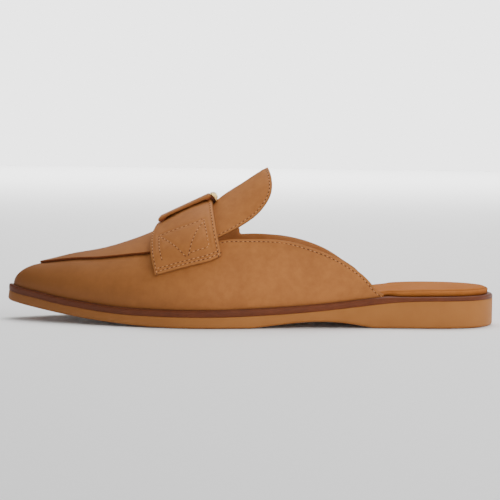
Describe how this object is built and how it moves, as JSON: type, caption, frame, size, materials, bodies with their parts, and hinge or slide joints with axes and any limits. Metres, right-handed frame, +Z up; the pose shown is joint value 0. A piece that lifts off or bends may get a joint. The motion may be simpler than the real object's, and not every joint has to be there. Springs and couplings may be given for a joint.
{
  "type": "backless loafer",
  "caption": "Pointed backless loafer in tan leather: low flat heel, dark midsole, raised apron, saddle strap with stitched tabs under a folded keeper, and an upright curved tongue.",
  "frame": {"origin": "on the ground, under the middle of the shoe's bounding box", "axes": "-X towards the toe, +X towards the heel, -Y towards the outer side of the foot, +Z up"},
  "size_m": [0.268, 0.0873, 0.0854],
  "materials": {
    "sole_rubber": "tan rubber, matt, moulded",
    "midsole_leather": "dark brown leather with a burnished edge",
    "footbed_leather": "tan lining leather, matt",
    "upper_leather": "tan smooth leather with a soft sheen",
    "clip_metal": "polished, pale gold"
  },
  "bodies": {
    "root": {"outsole": "sole_rubber", "midsole": "midsole_leather", "insole": "footbed_leather", "upper": "upper_leather", "apron": "upper_leather", "tongue": "upper_leather", "saddle_strap": "upper_leather", "keeper": "upper_leather", "keeper_clip": "clip_metal"}
  },
  "joints": []
}
